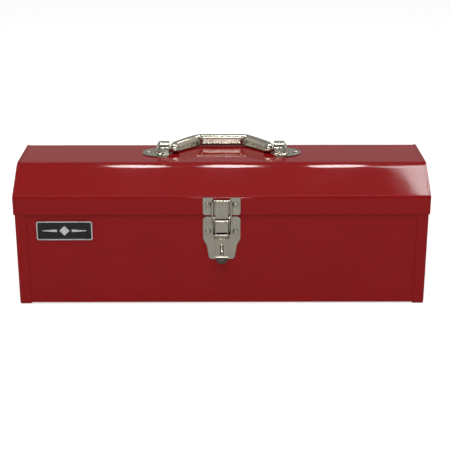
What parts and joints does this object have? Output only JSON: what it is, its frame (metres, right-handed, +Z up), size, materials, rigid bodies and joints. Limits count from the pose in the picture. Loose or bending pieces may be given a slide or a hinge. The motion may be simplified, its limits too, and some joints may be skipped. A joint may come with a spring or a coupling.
{
  "type": "hip-roof steel hand box",
  "caption": "Long red sheet-steel hand box with a hip-roof lid on a rear piano hinge, a draw latch with padlock eye, a fold-down handle and a lift-out tray.",
  "frame": {"origin": "middle of the bounding box, on the surface the box stands on", "axes": "+X along the box to the right seen from the front, +Y from the latch towards the hinge, +Z up"},
  "size_m": [0.4826, 0.1742, 0.1775],
  "materials": {
    "red_enamel": "gloss enamel",
    "nickel_plate": "bright nickel plate",
    "zinc_steel": "dull zinc plate",
    "badge_silver": "satin",
    "badge_black": "gloss enamel",
    "tray_black": "semi-gloss enamel"
  },
  "bodies": {
    "box": {"body_wrap": "red_enamel", "body_end_left": "red_enamel", "body_end_right": "red_enamel", "tray_ledge_left": "red_enamel", "tray_ledge_right": "red_enamel", "hinge_leaf_body": "zinc_steel", "hinge_pin": "zinc_steel", "latch_plate": "nickel_plate", "latch_pin": "nickel_plate", "padlock_eye": "nickel_plate", "latch_plate_rivets": "nickel_plate", "badge_frame": "badge_silver", "badge_insert": "badge_black", "badge_emblem": "badge_silver"},
    "lid": {"lid_shell": "red_enamel", "lid_end_left": "red_enamel", "lid_end_right": "red_enamel", "hinge_leaf_lid": "zinc_steel", "strike_plate": "nickel_plate", "strike_rivets": "nickel_plate", "handle_bracket_left": "nickel_plate", "handle_bracket_right": "nickel_plate", "bracket_rivets": "nickel_plate"},
    "latch_lever": {"latch_lever": "nickel_plate"},
    "latch_bail": {"latch_bail": "nickel_plate"},
    "handle": {"handle_strap": "nickel_plate", "handle_pivots": "nickel_plate", "pivot_washers": "nickel_plate"},
    "tray": {"tray_pan": "tray_black", "tray_handle": "tray_black", "tray_rivets": "nickel_plate"}
  },
  "joints": [
    {"name": "lid_hinge", "type": "hinge", "parent": "box", "child": "lid", "pos_m": [0, 0.0835, 0.1135], "axis": [-1, 0, 0], "range_deg": [0, 105]},
    {"name": "latch_lever_hinge", "type": "hinge", "parent": "box", "child": "latch_lever", "pos_m": [0, -0.07905, 0.1058], "axis": [-1, 0, 0], "range_deg": [0, 130]},
    {"name": "latch_bail_hinge", "type": "hinge", "parent": "latch_lever", "child": "latch_bail", "pos_m": [0, -0.07845, 0.0888], "axis": [-1, 0, 0], "range_deg": [-163, 0]},
    {"name": "handle_hinge", "type": "hinge", "parent": "lid", "child": "handle", "pos_m": [0, 0.0086, 0.169], "axis": [1, 0, 0], "range_deg": [0, 170]},
    {"name": "tray_lift", "type": "slide", "parent": "box", "child": "tray", "axis": [0, 0, 1], "range_m": [0, 0.02]}
  ],
  "couplings": [
    {"joint": "latch_bail_hinge", "follows": "latch_lever_hinge", "ratio": -1.25}
  ]
}
